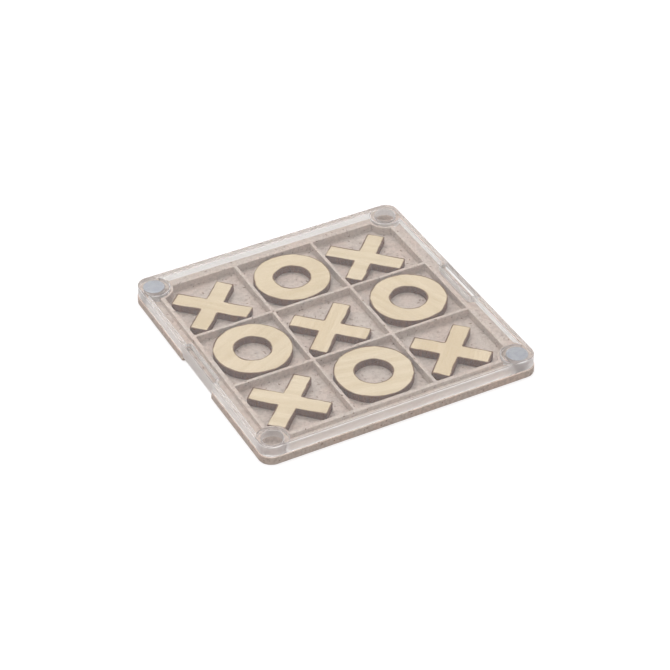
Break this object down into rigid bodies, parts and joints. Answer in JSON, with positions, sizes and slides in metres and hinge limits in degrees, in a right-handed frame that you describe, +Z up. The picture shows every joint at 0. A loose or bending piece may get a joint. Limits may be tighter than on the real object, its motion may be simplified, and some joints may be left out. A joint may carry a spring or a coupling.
{
  "type": "tic tac toe set",
  "caption": "Travel tic-tac-toe set: a square tray with a raised grid, wooden crosses and noughts in its cells, and a clear lift-off lid held by disc magnets.",
  "frame": {"origin": "middle of the tray's underside, on the surface that the set rests on", "axes": "+Z up, the way the lid lifts; X runs from one thumb notch to the other; Y along the sides that carry the notches"},
  "size_m": [0.11, 0.11, 0.008],
  "materials": {
    "tray": "satin, speckled natural-fibre plastic",
    "clear_lid": "clear polished plastic",
    "plywood": "bare sanded plywood with laser-burnt edges",
    "magnet": "satin nickel plating"
  },
  "bodies": {
    "tray": {"base_tray": "tray", "base_magnet_left": "magnet", "base_magnet_right": "magnet"},
    "lid": {"lid_cover": "clear_lid", "lid_magnet_left": "magnet", "lid_magnet_right": "magnet"},
    "cross_front_left": {"cross_front_left": "plywood"},
    "cross_front_right": {"cross_front_right": "plywood"},
    "cross_centre": {"cross_centre": "plywood"},
    "cross_back_left": {"cross_back_left": "plywood"},
    "cross_back_right": {"cross_back_right": "plywood"},
    "nought_front": {"nought_front": "plywood"},
    "nought_left": {"nought_left": "plywood"},
    "nought_right": {"nought_right": "plywood"},
    "nought_back": {"nought_back": "plywood"}
  },
  "joints": [
    {"name": "lid_lift", "type": "slide", "parent": "tray", "child": "lid", "axis": [0, 0, 1], "range_m": [0, 0.06]},
    {"name": "cross_front_left_lift", "type": "slide", "parent": "tray", "child": "cross_front_left", "axis": [0, 0, 1], "range_m": [0, 0.036]},
    {"name": "cross_front_right_lift", "type": "slide", "parent": "tray", "child": "cross_front_right", "axis": [0, 0, 1], "range_m": [0, 0.036]},
    {"name": "cross_centre_lift", "type": "slide", "parent": "tray", "child": "cross_centre", "axis": [0, 0, 1], "range_m": [0, 0.036]},
    {"name": "cross_back_left_lift", "type": "slide", "parent": "tray", "child": "cross_back_left", "axis": [0, 0, 1], "range_m": [0, 0.036]},
    {"name": "cross_back_right_lift", "type": "slide", "parent": "tray", "child": "cross_back_right", "axis": [0, 0, 1], "range_m": [0, 0.036]},
    {"name": "nought_front_lift", "type": "slide", "parent": "tray", "child": "nought_front", "axis": [0, 0, 1], "range_m": [0, 0.021]},
    {"name": "nought_left_lift", "type": "slide", "parent": "tray", "child": "nought_left", "axis": [0, 0, 1], "range_m": [0, 0.021]},
    {"name": "nought_right_lift", "type": "slide", "parent": "tray", "child": "nought_right", "axis": [0, 0, 1], "range_m": [0, 0.021]},
    {"name": "nought_back_lift", "type": "slide", "parent": "tray", "child": "nought_back", "axis": [0, 0, 1], "range_m": [0, 0.021]}
  ],
  "couplings": [
    {"joint": "cross_front_left_lift", "follows": "lid_lift", "ratio": 0.6},
    {"joint": "cross_front_right_lift", "follows": "lid_lift", "ratio": 0.6},
    {"joint": "cross_centre_lift", "follows": "lid_lift", "ratio": 0.6},
    {"joint": "cross_back_left_lift", "follows": "lid_lift", "ratio": 0.6},
    {"joint": "cross_back_right_lift", "follows": "lid_lift", "ratio": 0.6},
    {"joint": "nought_front_lift", "follows": "lid_lift", "ratio": 0.35},
    {"joint": "nought_left_lift", "follows": "lid_lift", "ratio": 0.35},
    {"joint": "nought_right_lift", "follows": "lid_lift", "ratio": 0.35},
    {"joint": "nought_back_lift", "follows": "lid_lift", "ratio": 0.35}
  ]
}
